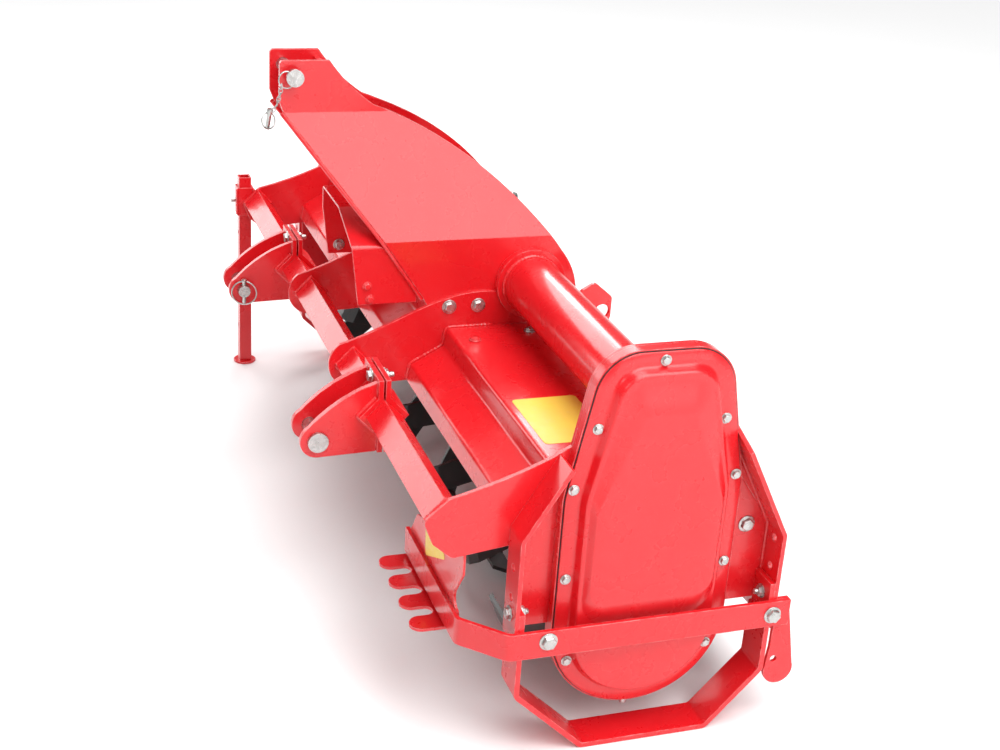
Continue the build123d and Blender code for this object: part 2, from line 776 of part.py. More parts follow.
bend_mid = tine_bend_r * (1 - math.sqrt(0.5))
tine_section = creased(
    [
        (tine_leg, tip_r),
        (tine_bend_r, tip_r),
        (bend_mid, tip_r - bend_mid),
        (0, tip_r - tine_bend_r),
        (0, tine_root_r),
    ],
    tine_t,
)
tine_reach = 2 * tine_width
tine_bar = extrude(Plane.XZ.offset(-tine_reach) * tine_section, 2 * tine_reach, dir=(0, -1, 0))
half = tine_width / 2
edge_mid = (half - tine_sweep / 2 + tine_bow, (tine_root_r + tip_r) / 2)
edge_root = (half, tine_root_r)
edge_tip = (half - tine_sweep, tip_r)
tine_line = Curve() + [
    ThreePointArc(edge_root, edge_mid, edge_tip),
    Polyline(edge_tip, (-half - tine_sweep, tip_r), (-half, tine_root_r), edge_root),
]
tine = tine_bar & extrude(Plane.YZ * make_face(tine_line), tine_leg, dir=(1, 0, 0))
tines = []
for place, x in enumerate(disc_xs):
    for step in range(tines_per_disc):
        turn = 360 / tines_per_disc * step + 360 / tines_per_disc / disc_count * place
        points_right = step % 2 == 0
        if place == 0:
            points_right = True
        if place == disc_count - 1:
            points_right = False
        blade = tine if points_right else mirrored(tine)
        side = x + disc_t / 2 if points_right else x - disc_t / 2
        tines.append(Pos(side, rotor_y, rotor_z) * Rot(turn, 0, 0) * blade)
parts["rotor_tines"] = Compound(children=tines)

# Input shaft
stub_face = input_face * Pos(0, axle_z) * Circle(stub_r)
stub = extrude(stub_face, input_length + stub_length, dir=(0, -1, 0))
collar_face = input_face * Pos(0, axle_z) * Circle(stub_collar_r)
parts["input_stub"] = stub + extrude(collar_face, input_length, dir=(0, -1, 0))

# Rear board, with the knuckles it swings on
board_length = math.hypot(board_low_y - hinge_y, board_low_z - hinge_z)
down_y = (board_low_y - hinge_y) / board_length
down_z = (board_low_z - hinge_z) / board_length


def on_board(down, off):
    """A point so far down the board from its hinge, and so far behind it."""
    return (hinge_y + down_y * down - down_z * off, hinge_z + down_z * down + down_y * off)


board_top = on_board(knuckle_r + lug_gap, 0)
board_section = folded([board_top, (board_low_y, board_low_z), (board_lip_y, board_lip_z)], sheet)
board = along_x(board_section, -board_half_x, board_half_x)
knuckle = disc(hinge_y, hinge_z, knuckle_r) + creased([on_board(0, 0), on_board(2 * knuckle_r, 0)], sheet)
for spot in knuckle_spots:
    board += along_x(knuckle, spot - knuckle_length / 2, spot + knuckle_length / 2)
rod_bore = rod_x_way(hinge_y, hinge_z, hinge_r + hinge_fit, -end_x, end_x)
foot_y, foot_z = on_board(rod_down, rod_off)
ear_face = polygon([
    on_board(rod_down - 2 * rod_eye_r, sheet / 2),
    on_board(rod_down - rod_eye_r, rod_off),
    on_board(rod_down + rod_eye_r, rod_off),
    on_board(rod_down + 2 * rod_eye_r, sheet / 2),
])
ear_face = ear_face + disc(foot_y, foot_z, rod_eye_r) - disc(foot_y, foot_z, rod_pin_r + hinge_fit)
ear_mid = rod_eye_width / 2 + lug_gap + ear_t / 2
for rod_place in (-rod_x, rod_x):
    for way in (-1, 1):
        board += across(ear_face, rod_place + way * ear_mid - ear_t / 2, ear_t)
parts["rear_board"] = board - rod_bore
rod_pin = rod_x_way(foot_y, foot_z, rod_pin_r, rod_x - ear_mid - ear_t, rod_x + ear_mid + ear_t)
pair("rod_pins", rod_pin)

lug_face = polygon([
    (deck_rear_y, deck_z),
    (hinge_y, hinge_z + knuckle_r),
    (hinge_y, hinge_z - knuckle_r),
    (deck_rear_y, hood_tail_z),
])
lug_face = lug_face + disc(hinge_y, hinge_z, knuckle_r) - disc(hinge_y, hinge_z, hinge_r + hinge_fit)
lug_face -= Pos(deck_rear_y, hinge_z) * Rectangle(deck_z, deck_z, align=(Align.MAX, Align.CENTER))
lugs = []
for spot in knuckle_spots:
    for way in (-1, 1):
        lug_mid = spot + way * (knuckle_length / 2 + lug_gap + lug_t / 2)
        lugs.append(across(lug_face, lug_mid - lug_t / 2, lug_t))
parts["hinge_lugs"] = Compound(children=lugs)
hinge_reach = knuckle_spots[-1] + knuckle_length / 2 + lug_gap + 2 * lug_t
parts["hinge_rod"] = rod_x_way(hinge_y, hinge_z, hinge_r, -hinge_reach, hinge_reach)

# Eyes on the hood that the board's rods slide through
rod_length = math.hypot(eye_y - foot_y, eye_z - foot_z)
lean = math.degrees(math.atan2(foot_y - eye_y, eye_z - foot_z))
eye = Box(eye_width, eye_length, eye_t) - Cylinder(eye_hole_r, 2 * eye_t)
eye = Pos(rod_x, eye_y, eye_z) * Rot(lean, 0, 0) * eye
post_head_z = eye_z - post_head_drop
post_face = polygon([
    (eye_y - post_front, deck_z),
    (deck_rear_y, deck_z),
    (eye_y - post_head_rear, post_head_z),
    (eye_y - post_head_front, post_head_z),
])
post = along_x(post_face, rod_x - eye_width / 2, rod_x - eye_width / 2 + plate)
post += along_x(post_face, rod_x + eye_width / 2 - plate, rod_x + eye_width / 2)
pair("rod_eyes", eye + post)

# Rods that carry the board
slider = Pos(0, 0, (rod_length + rod_over) / 2) * Cylinder(rod_r, rod_length + rod_over)
slider += Pos(0, 0, rod_length + rod_over / 2) * Cylinder(rod_collar_r, rod_collar_t)
slider += Rot(0, 90, 0) * Cylinder(rod_eye_r, rod_eye_width)
slider -= Rot(0, 90, 0) * Cylinder(rod_pin_r + hinge_fit, 2 * rod_eye_width)
slider = Pos(rod_x, foot_y, foot_z) * Rot(lean, 0, 0) * slider
pair("board_rods", slider)

# Lifting lugs on the hood, behind the axle
lift_rear_y = lift_front_y + lift_length
lug_plate = polygon([
    (lift_front_y, deck_z),
    (deck_rear_y, deck_z),
    (lift_rear_y, deck_z + lift_rear_low),
    (lift_rear_y, deck_z + lift_rear_high),
    (lift_front_y + lift_crest_run, deck_z + lift_height),
    (lift_front_y, deck_z + lift_front_rise),
])
lug_plate = fillet(lug_plate.vertices().sort_by(Axis.Y)[2:], corner_r)
lug_plate -= disc(lift_front_y + lift_hole_run, deck_z + lift_hole_rise, lift_hole_r)
pair("lift_lugs", across(lug_plate, lift_x - plate / 2, plate))

# Ears behind the skids, on the rear flanges
lobe_y = flange_rear_y + ear_length - ear_width / 2
lobe_z = guard_low_z - ear_drop
ear_top_z = guard_low_z + guard_height
ear_neck_face = polygon([
    (flange_rear_y, ear_top_z),
    (flange_rear_y, (guard_low_z + lobe_z) / 2),
    (lobe_y - ear_width / 2, lobe_z),
    (lobe_y + ear_width / 2, lobe_z),
    (flange_rear_y + ear_neck, ear_top_z),
])
ear_plate = ear_neck_face + disc(lobe_y, lobe_z, ear_width / 2)
ear_plate -= disc(flange_rear_y + ear_hole_run, guard_low_z - ear_hole_drop, ear_hole_r)
pair("skid_ears", across(ear_plate, guard_x - plate, plate))

os.makedirs("parts", exist_ok=True)
for name, solid in parts.items():
    export_step(solid, "parts/" + name + ".step")
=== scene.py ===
import json
import math

import bmesh
import bpy
from mathutils import Matrix, Vector


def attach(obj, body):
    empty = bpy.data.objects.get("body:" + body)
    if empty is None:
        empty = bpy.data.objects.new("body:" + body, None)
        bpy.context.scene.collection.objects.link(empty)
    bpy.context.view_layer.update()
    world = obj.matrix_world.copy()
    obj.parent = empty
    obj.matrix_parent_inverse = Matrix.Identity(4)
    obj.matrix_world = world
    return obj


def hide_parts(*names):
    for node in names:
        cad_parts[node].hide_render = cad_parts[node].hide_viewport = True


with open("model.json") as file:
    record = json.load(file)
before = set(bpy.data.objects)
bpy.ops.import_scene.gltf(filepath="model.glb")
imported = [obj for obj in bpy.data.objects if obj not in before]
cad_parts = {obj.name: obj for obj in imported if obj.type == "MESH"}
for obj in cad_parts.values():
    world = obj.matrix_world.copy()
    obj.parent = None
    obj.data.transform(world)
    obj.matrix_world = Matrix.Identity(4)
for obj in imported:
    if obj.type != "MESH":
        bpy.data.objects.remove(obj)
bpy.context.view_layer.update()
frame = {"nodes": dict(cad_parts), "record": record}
nodes = frame["nodes"]
scene = bpy.context.scene

X = Vector((1, 0, 0))
Y = Vector((0, 1, 0))
Z = Vector((0, 0, 1))
SIDES = (-1, 1)

# Places on the machine, in millimetres
SHAFT_Z = 625  # height of the input shaft and the axle tubes
ROTOR_Y, ROTOR_Z = 117, 232  # axis of the rotor, with the axle tubes above it
BAR_Y, BAR_Z = -259, 467  # middle of the toolbar
END_OUT = 889  # outer faces of the end plates
FLANGE_MID = 919  # middle of the bolt rows in the end flanges
CLEVIS_MID = 413  # middle of each hitch clevis
DECK_Z = 535  # top of the hood's deck


def mm(x, y, z):
    """A point given in millimetres."""
    return Vector((x, y, z)) / 1000


# Materials
class Nodes:
    """A material's node tree, with short ways to add and join nodes."""

    def __init__(self, name):
        self.material = bpy.data.materials.new(name)
        self.material.use_nodes = True
        self.tree = self.material.node_tree
        self.shader = self.tree.nodes["Principled BSDF"]
        self.place = self.add("ShaderNodeTexCoord").outputs["Object"]

    def add(self, kind, **settings):
        node = self.tree.nodes.new(kind)
        for name, value in settings.items():
            setattr(node, name, value)
        return node

    def join(self, out, socket):
        self.tree.links.new(out, socket)

    def feed(self, socket, out):
        """Drive one of the shader's own sockets."""
        self.join(out, self.shader.inputs[socket])

    def noise(self, scale, detail=3.0, rough=0.55):
        node = self.add("ShaderNodeTexNoise")
        node.inputs["Scale"].default_value = scale
        node.inputs["Detail"].default_value = detail
        node.inputs["Roughness"].default_value = rough
        self.join(self.place, node.inputs["Vector"])
        return node.outputs["Fac"]

    def spread(self, value, given, wanted=(0.0, 1.0)):
        """Stretch a value from one range to another."""
        node = self.add("ShaderNodeMapRange")
        for prefix, limits in (("From", given), ("To", wanted)):
            for end, limit in zip(("Min", "Max"), limits):
                node.inputs[prefix + " " + end].default_value = limit
        self.join(value, node.inputs["Value"])
        return node.outputs["Result"]

    def mix(self, share, first, second):
        node = self.add("ShaderNodeMix", data_type="RGBA")
        self.join(share, node.inputs["Factor"])
        for value, socket in ((first, node.inputs["A"]), (second, node.inputs["B"])):
            if isinstance(value, tuple):
                socket.default_value = (*value, 1)
            else:
                self.join(value, socket)
        return node.outputs["Result"]

    def times(self, first, second):
        node = self.add("ShaderNodeMath", operation="MULTIPLY")
        self.join(first, node.inputs[0])
        self.join(second, node.inputs[1])
        return node.outputs[0]

    def bump(self, height, strength, distance, under=None):
        node = self.add("ShaderNodeBump")
        node.inputs["Strength"].default_value = strength
        node.inputs["Distance"].default_value = distance
        self.join(height, node.inputs["Height"])
        if under:
            self.join(under, node.inputs["Normal"])
        return node.outputs["Normal"]

    def soft_edge(self, radius):
        """The rounded normal along the edges, and how far it leans from the face."""
        bevel = self.add("ShaderNodeBevel", samples=6)
        bevel.inputs["Radius"].default_value = radius
        face = self.add("ShaderNodeNewGeometry")
        lean = self.add("ShaderNodeVectorMath", operation="DOT_PRODUCT")
        self.join(bevel.outputs["Normal"], lean.inputs[0])
        self.join(face.outputs["Normal"], lean.inputs[1])
        return bevel.outputs["Normal"], self.spread(lean.outputs["Value"], (0.995, 0.80))


def paint(name, colour, deep, dust_wear_and_highlight, gloss, edge=0.0022, edge_wear_and_highlight=0.35):
    """Sprayed paint: slight unevenness, orange peel, dust in the grain, and worn edges whose light
    colour is a painted highlight.
    """
    m = Nodes(name)
    tone = m.mix(m.spread(m.noise(2.3, 4.0), (0.35, 0.65)), colour, deep)
    speck = m.spread(m.noise(420.0, 2.0), (0.60, 0.72), (0.0, 0.05))
    tone = m.mix(speck, tone, dust_wear_and_highlight)
    normal, along_edge = m.soft_edge(edge)
    # Painted highlight: along the edges the paint turns towards the light colour in patches, partly
    # standing for wear.
    worn_highlight_patches = m.spread(m.noise(38.0, 5.0, 0.7), (0.42, 0.62), (0.0, edge_wear_and_highlight))
    m.feed("Base Color", m.mix(m.times(along_edge, worn_highlight_patches), tone, dust_wear_and_highlight))
    m.feed("Roughness", m.spread(m.noise(16.0, 4.0), (0.3, 0.7), (gloss - 0.02, gloss + 0.04)))
    peel = m.bump(m.noise(260.0, 2.0), strength=0.04, distance=0.0006, under=normal)
    m.feed("Normal", m.bump(m.noise(9.0, 2.0), strength=0.02, distance=0.004, under=peel))
    m.shader.inputs["Coat Weight"].default_value = 0.35
    m.shader.inputs["Coat Roughness"].default_value = 0.09
    return m.material


def steel(name, colour, dull, gloss, edge=0.0008):
    """Plated steel: patches of dull plating, brushed grain and brighter edges."""
    m = Nodes(name)
    tone = m.mix(m.spread(m.noise(70.0, 5.0, 0.6), (0.35, 0.68)), colour, dull)
    normal, along_edge = m.soft_edge(edge)
    m.feed("Base Color", m.mix(along_edge, tone, (0.82, 0.82, 0.81)))
    m.feed("Roughness", m.spread(m.noise(130.0), (0.3, 0.7), (gloss - 0.07, gloss + 0.12)))
    grain = m.bump(m.noise(900.0, 2.0), strength=0.10, distance=0.0003, under=normal)
    m.feed("Normal", grain)
    m.shader.inputs["Metallic"].default_value = 0.9
    return m.material


def plate_print(name, colour, faded, scuffed):
    """Printed foil: a slight fade, scuffs and a satin coat."""
    m = Nodes(name)
    tone = m.mix(m.spread(m.noise(11.0, 4.0), (0.35, 0.7)), colour, faded)
    scuffs = m.spread(m.noise(160.0, 5.0, 0.7), (0.60, 0.75), (0.0, 0.5))
    m.feed("Base Color", m.mix(scuffs, tone, scuffed))
    m.feed("Roughness", m.spread(m.noise(60.0), (0.3, 0.7), (0.28, 0.45)))
    m.feed("Normal", m.bump(m.noise(300.0, 2.0), strength=0.05, distance=0.0004))
    return m.material


def rubber(name, colour, dusty):
    """Black gasket: matt, a little dusty."""
    m = Nodes(name)
    m.feed("Base Color", m.mix(m.spread(m.noise(55.0, 4.0), (0.4, 0.75), (0.0, 0.6)), colour, dusty))
    m.feed("Roughness", m.spread(m.noise(90.0), (0.3, 0.7), (0.55, 0.8)))
    m.feed("Normal", m.bump(m.noise(500.0, 2.0), strength=0.12, distance=0.0004))
    return m.material


# Red paint; its edges are painted light pink in patches as a painted highlight.
red = paint(
    "red_paint", colour=(0.78, 0.012, 0.018), deep=(0.68, 0.009, 0.015), dust_wear_and_highlight=(1.0, 0.52, 0.52),
    gloss=0.27, edge=0.0026, edge_wear_and_highlight=0.75,
)
# Paint of the weld beads and painted bolts; their edges are painted light pink as a painted highlight.
weld_red = paint(
    "weld_paint", colour=(0.82, 0.03, 0.035), deep=(0.66, 0.009, 0.015), dust_wear_and_highlight=(0.98, 0.55, 0.55),
    gloss=0.20, edge_wear_and_highlight=0.5,
)
black = paint(
    "dark_paint", colour=(0.010, 0.010, 0.011), deep=(0.022, 0.020, 0.018), dust_wear_and_highlight=(0.16, 0.14, 0.12),
    gloss=0.42, edge_wear_and_highlight=0.6,
)
bright = steel("bright_steel", colour=(0.56, 0.56, 0.55), dull=(0.40, 0.40, 0.39), gloss=0.27)
zinc = steel("zinc_plating", colour=(0.58, 0.58, 0.57), dull=(0.42, 0.43, 0.41), gloss=0.28)
yellow = plate_print(
    "yellow_plate", colour=(0.93, 0.70, 0.09), faded=(0.88, 0.62, 0.10), scuffed=(0.80, 0.66, 0.30),
)
gasket_black = rubber("gasket_black", colour=(0.008, 0.008, 0.009), dusty=(0.05, 0.045, 0.04))

finishes = {"red_paint": red, "dark_paint": black, "bright_steel": bright}
for entry in frame["record"]["subparts"]:
    materials = nodes[entry["node"]].data.materials
    materials.clear()
    materials.append(finishes[entry["material_slot"]])


# Mesh helpers
def across(axis):
    """Two directions square to an axis and to each other."""
    axis = axis.normalized()
    helper = Z if abs(axis.z) < 0.9 else X
    first = helper.cross(axis).normalized()
    return first, axis.cross(first)


def circle(centre, first, second, radius, count, turn=0.0):
    """Points round a circle in the plane of two directions."""
    points = []
    for step in range(count):
        angle = turn + 2 * math.pi * step / count
        points.append(centre + (first * math.cos(angle) + second * math.sin(angle)) * radius)
    return points


def skin(bm, rings, closed=False):
    """Walls between rings of as many points, with both ends filled where the run isn't closed."""
    loops = [[bm.verts.new(point) for point in ring] for ring in rings]
    pairs = list(zip(loops, loops[1:]))
    if closed:
        pairs.append((loops[-1], loops[0]))
    else:
        bm.faces.new(loops[0][::-1])
        bm.faces.new(loops[-1])
    for low, high in pairs:
        for step in range(len(low)):
            after = (step + 1) % len(low)
            bm.faces.new((low[step], low[after], high[after], high[step]))


def turned(bm, place, axis, profile, sides=24, turn=0.0):
    """A turned piece: profile is [(radius, height)] from its foot up along the axis."""
    first, second = across(axis)
    axis = axis.normalized()
    skin(bm, [
        circle(place + axis * height, first, second, radius, sides, turn) for radius, height in profile
    ])


def swept(bm, points, radius, sides=10, closed=False, sizes=None):
    """A round tube along points; sizes may scale its radius at each of them."""
    count = len(points)
    rings = []
    first = None
    for step, point in enumerate(points):
        before = points[step - 1] if step or closed else point
        after = points[(step + 1) % count] if step < count - 1 or closed else point
        way = (after - before).normalized()
        if first is None:
            first = across(way)[0]
        first = (first - way * first.dot(way)).normalized()
        size = radius * (sizes[step] if sizes else 1.0)
        rings.append(circle(point, first, way.cross(first), size, sides))
    skin(bm, rings, closed)


def hoop(bm, centre, normal, radius, thick):
    """A ring of round wire."""
    swept(bm, circle(centre, *across(normal), radius, 40), thick, 8, closed=True)


def piece(name, bm, material, body, smooth=35.0):
    """A named piece that rides on a body. Edges sharper than smooth, in degrees, stay crisp."""
    bmesh.ops.recalc_face_normals(bm, faces=bm.faces)
    mesh = bpy.data.meshes.new(name)
    bm.to_mesh(mesh)
    bm.free()
    mesh.polygons.foreach_set("use_smooth", [True] * len(mesh.polygons))
    mesh.set_sharp_from_angle(angle=math.radians(smooth))
    mesh.materials.append(material)
    made = bpy.data.objects.new(name, mesh)
    scene.collection.objects.link(made)
    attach(made, body)
    return made


def hex_head(bm, place, axis, size, washer=1.35, turn=0.3):
    """A hexagon bolt head on its washer. size is half the width across the corners."""
    rim = size * washer
    turned(bm, place, axis, [(rim * 0.96, 0), (rim, 0.0004), (rim, 0.0018), (rim * 0.96, 0.0022)], 28)
    height = size * 0.62
    base = place + axis.normalized() * 0.002
    turned(bm, base, axis, [
        (size, 0), (size, height * 0.82), (size * 0.90, height), (size * 0.80, height * 1.02),
    ], 6, turn)
    turned(bm, base + axis.normalized() * height * 0.9, axis, [
        (size * 0.78, 0), (size * 0.76, height * 0.13), (size * 0.6, height * 0.15),
    ], 24)


def nut(bm, place, axis, size, stud=0.008, turn=0.1):
    """A hexagon nut on its washer, with the bolt's end standing out of it."""
    hex_head(bm, place, axis, size, 1.3, turn)
    base = place + axis.normalized() * size * 0.6
    turned(bm, base, axis, [(size * 0.5, 0), (size * 0.5, stud), (size * 0.42, stud + 0.0012)], 16)


# Pressed cover of the side drive, with soft edges
CASE_Y = 110
CASE_OUT = 909
COVER_OUT = 913
DISH_TOP = COVER_OUT + 19
PANEL_TOP = COVER_OUT + 32


def corner_angle(before, corner, after):
    """The ways from a corner to its neighbours, and half the angle between them."""
    back = (Vector(before) - corner).normalized()
    ahead = (Vector(after) - corner).normalized()
    return back, ahead, math.acos(max(-1.0, min(1.0, back.dot(ahead)))) / 2


def rounded(corners, arc=10, run=8):
    """Points round an outline of corners (y, z, radius), as many on each corner and straight run."""
    count = len(corners)
    arcs = []
    for step, (y, z, radius) in enumerate(corners):
        corner = Vector((y, z))
        back, ahead, half = corner_angle(corners[step - 1][:2], corner, corners[(step + 1) % count][:2])
        middle = corner + (back + ahead).normalized() * (radius / math.sin(half))
        start = corner + back * (radius / math.tan(half)) - middle
        finish = corner + ahead * (radius / math.tan(half)) - middle
        sweep = start.angle_signed(finish)
        arcs.append([
            middle + Matrix.Rotation(-sweep * turn / arc, 2) @ start for turn in range(arc + 1)
        ])
    points = []
    for step, corner in enumerate(arcs):
        points += corner
        after = arcs[(step + 1) % count][0]
        points += [corner[-1].lerp(after, (part + 1) / (run + 1)) for part in range(run)]
    return points


def tapered_outline(half, top_half, low, shoulder, top):
    """Outline with a narrower top. low, shoulder and top are pairs of height and corner radius."""
    return rounded([
        (CASE_Y - half, *low),
        (CASE_Y + half, *low),
        (CASE_Y + half, *shoulder),
        (CASE_Y + top_half, *top),
        (CASE_Y - top_half, *top),
        (CASE_Y - half, *shoulder),
    ])


def case_outline(inset):
    """Outline of the drive case, drawn in by inset."""
    half = 170 - inset
    low = (62 + inset, half - 1)
    top = (766 - inset, 85 - inset)
    return tapered_outline(half, 118 - inset, low, (500, 150), top)


def eased(share, soft=0.16):
    """Rise of a pressed slope that is straight between two soft ends."""
    pace = 1 / (1 - soft)
    if share < soft:
        return pace * share * share / (2 * soft)
    if share > 1 - soft:
        return 1 - pace * (1 - share) * (1 - share) / (2 * soft)
    return pace * (share - soft / 2)


# The edge and the step up to the first level, as inset and rise
DISH_STEPS = (
    (4.6, 0), (26, 0), (28.5, 0.6), (30.5, 2.2), (32, 5), (35, 14), (36.5, 17), (38.5, 18.6), (41, 19),
)
rings = [(case_outline(4), CASE_OUT), (case_outline(4), COVER_OUT - 0.6)]
for inset, rise in DISH_STEPS:
    rings.append((case_outline(inset), COVER_OUT + rise))
foot = tapered_outline(128, 76, (245, 60), (498, 140), (724, 44))
panel = tapered_outline(117, 44, (303, 32), (483, 58), (650, 12))
for share in (0, 0.05, 0.10, 0.16, 0.5, 0.84, 0.90, 0.95, 1):
    line = [low.lerp(high, share) for low, high in zip(foot, panel)]
    rings.append((line, DISH_TOP + (PANEL_TOP - DISH_TOP) * eased(share)))
crown = sum(panel, Vector((0, 0))) / len(panel)
for share in (0.25, 0.6):
    rings.append(([point.lerp(crown, share) for point in panel], PANEL_TOP))
bm = bmesh.new()
skin(bm, [[mm(x, point.x, point.y) for point in line] for line, x in rings])
cover = piece("pressed_cover", bm, red, "frame", 50)
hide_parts("drive_cover")

# Gasket between the cover and its case
bm = bmesh.new()
gasket_line = [mm(CASE_OUT + 0.6, point.x, point.y) for point in case_outline(3.4)]
swept(bm, gasket_line, 0.0013, 6, closed=True)
piece("cover_gasket", bm, gasket_black, "frame")

# Bolts round the drive cover, and the drain plug under its case
COVER_BOLTS = (
    (102, 747), (-9, 629), (-43, 517), (-43, 341), (-27, 170), (229, 629), (263, 517), (263, 341),
    (247, 170),
)
bm = bmesh.new()
for y, z in COVER_BOLTS:
    hex_head(bm, mm(COVER_OUT, y, z), X, 0.0078, 1.3, y * 0.1)
turned(bm, mm(899, 100, 63), -Z, [
    (0.009, 0), (0.009, 0.004), (0.007, 0.005), (0.007, 0.010), (0.006, 0.011),
], 20)
piece("cover_bolts", bm, zinc, "frame")

# Bolts of the guard bar, the end plates, their flanges and the bearing cap
GUARD_HEX, PLATE_HEX, FLANGE_HEX, CAP_HEX = 0.0135, 0.0125, 0.0105, 0.0075
CAP_R = 56
bm = bmesh.new()
for y, z in ((-83, 247), (354, 240)):
    hex_head(bm, mm(957, y, z), X, GUARD_HEX, 1.25, y * 0.1)
for side in SIDES:
    hex_head(bm, mm(side * END_OUT, 313, 398), X * side, PLATE_HEX, 1.3)
    hex_head(bm, mm(side * FLANGE_MID, -144, 290), -Y, FLANGE_HEX)
    nut(bm, mm(side * FLANGE_MID, -126, 290), Y, FLANGE_HEX)
    hex_head(bm, mm(side * FLANGE_MID, 365, 270), Y, FLANGE_HEX)
    nut(bm, mm(side * FLANGE_MID, 347, 270), -Y, FLANGE_HEX)
for place in circle(mm(-917, ROTOR_Y, ROTOR_Z), Y, Z, CAP_R / 1000, 6, 0.3):
    hex_head(bm, place, -X, CAP_HEX)
piece("end_bolts", bm, zinc, "frame")

# Bolts of the centre plates, the hitch clamps, the hood and the shield's far wall
FRAME_HEX, HOOD_HEX, SHIELD_HEX = 0.0115, 0.009, 0.0095
bm = bmesh.new()
for side in SIDES:
    for y in (-58, 5):
        hex_head(bm, mm(side * 213, y, 581), X * side, FRAME_HEX)
        nut(bm, mm(side * 205, y, 581), -X * side, FRAME_HEX)
    for z in (529, 405):
        hex_head(bm, mm(side * CLEVIS_MID, -271, z), -Y, FRAME_HEX)
        nut(bm, mm(side * CLEVIS_MID, -247, z), Y, FRAME_HEX, 0.012)
    hex_head(bm, mm(side * 261, 105, DECK_Z), Z, HOOD_HEX)
hex_head(bm, mm(-71, -227, 628), X, SHIELD_HEX)
piece("frame_bolts", bm, zinc, "frame")

# Painted bolts of the shield's near wall, and the painted plug in the deck
PAINTED_HEX = 0.0075
bm = bmesh.new()
turned(bm, mm(289, -23, DECK_Z), Z, [
    (0.013, 0), (0.013, 0.002), (0.011, 0.003), (0.0105, 0.006), (0.0085, 0.007),
], 28)
for y, z in ((-230, 630), (-223, 602)):
    hex_head(bm, mm(197, y, z), X, PAINTED_HEX)
    nut(bm, mm(193, y, z), -X, PAINTED_HEX, 0.005)
piece("painted_bolts", bm, weld_red, "frame")

# Splines of the input shaft
SPLINES = 6
bm = bmesh.new()
for spline in range(SPLINES):
    angle = 2 * math.pi / SPLINES * spline
    out = Vector((math.cos(angle), 0, math.sin(angle)))
    aside = Vector((-math.sin(angle), 0, math.cos(angle))) * 0.0032
    root = mm(0, 0, SHAFT_Z) + out * 0.0168
    crest = mm(0, 0, SHAFT_Z) + out * 0.0192
    profile = (root - aside, crest - aside, crest + aside, root + aside)
    skin(bm, [[point + Y * y for point in profile] for y in (-0.204, -0.150)])
piece("input_splines", bm, bright, "input", 30)

# Upper rear corners of the end plates, and the tapered tops of their flanges
PLATE_CORNER = ((357, 400), (267, 571), (253, 613), (209, 613))
FLANGE_LOW = ((889, 274, 575), (949, 274, 575), (949, 267, 571), (889, 267, 571))
FLANGE_HIGH = ((889, 258, 616), (895, 258, 616), (895, 252, 612), (889, 252, 612))
bm = bmesh.new()
for side in SIDES:
    skin(bm, [[mm(side * x, y, z) for y, z in PLATE_CORNER] for x in (881, END_OUT)])
    skin(bm, [[mm(side * x, y, z) for x, y, z in outline] for outline in (FLANGE_LOW, FLANGE_HIGH)])
piece("plate_corners", bm, red, "frame", 30)

# Foot of the stand, a little wider than its leg
bm = bmesh.new()
turned(bm, mm(-910.3, -290, 0), Z, [(0.029, 0), (0.030, 0.001), (0.030, 0.005), (0.029, 0.006)], 40)
foot_plate = piece("foot_plate", bm, red, "stand")
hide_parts("stand_foot")

# Breather on the gearbox
bm = bmesh.new()
turned(bm, mm(0, 140, 712), Z, [
    (0.011, 0), (0.011, 0.014), (0.009, 0.015), (0.009, 0.022),
    (0.014, 0.024), (0.015, 0.034), (0.012, 0.040), (0.006, 0.043),
], 24)
piece("breather", bm, zinc, "frame")


# Blank plates where the labels are
def foil(name, corners, across_way, up_way, place):
    """A thin plate with rounded corners; corners are (across, up, radius) in millimetres."""
    back = [
        place + (across_way * point.x + up_way * point.y) / 1000 for point in rounded(corners, 6, 0)
    ]
    out = across_way.cross(up_way)
    made = bmesh.new()
    skin(made, [back, [point + out * 0.0006 for point in back]])
    return piece(name, made, yellow, "frame", 30)


DECK_PLATE = [(0, 0, 9), (190, 0, 9), (190, 128, 9), (0, 128, 9)]
PANEL_PLATE = [(12, 0, 6), (140, 62, 6), (0, 80, 6)]
foil("deck_plate", DECK_PLATE, X, Y, mm(583, -45, DECK_Z))
foil("panel_plate", PANEL_PLATE, X, Z, mm(652, -222, 269))


# Weld beads
def bead(bm, points, radius):
    """A weld bead along points, with the ripples of its passes."""
    fine = [points[0]]
    for start, finish in zip(points, points[1:]):
        count = max(1, round((finish - start).length / 0.0028))
        fine += [start.lerp(finish, (step + 1) / count) for step in range(count)]
    sizes = [
        1 + 0.16 * math.sin(step * 2.2) + 0.07 * math.sin(step * 0.73 + 1) for step in range(len(fine))
    ]
    sizes[0] = sizes[-1] = 0.5
    swept(bm, fine, radius, 7, sizes=sizes)


def round_seam(x, z, radius, count=48):
    """A seam round a tube or shaft that runs along the machine."""
    points = circle(mm(x, ROTOR_Y, z), Y, Z, radius / 1000, count)
    return points + points[:1]


def bar_seam(x, half=36.5):
    """A seam round the toolbar, which stands on its edge."""
    corners = ((-1, 0), (0, 1), (1, 0), (0, -1), (-1, 0))
    return [mm(x, BAR_Y + y * half, BAR_Z + z * half) for y, z in corners]


def seam(x, points):
    """A seam through (y, z) points at one place along the machine."""
    return [mm(x, y, z) for y, z in points]


def bent(points, radius, steps=5):
    """An open line of (y, z) points with its bends rounded."""
    line = [Vector(points[0])]
    for before, corner, after in zip(points, points[1:], points[2:]):
        corner = Vector(corner)
        back, ahead, half = corner_angle(before, corner, after)
        start = corner + back * (radius / math.tan(half))
        finish = corner + ahead * (radius / math.tan(half))
        for step in range(steps + 1):
            share = step / steps
            line.append(start.lerp(corner, share).lerp(corner.lerp(finish, share), share))
    return line + [Vector(points[-1])]


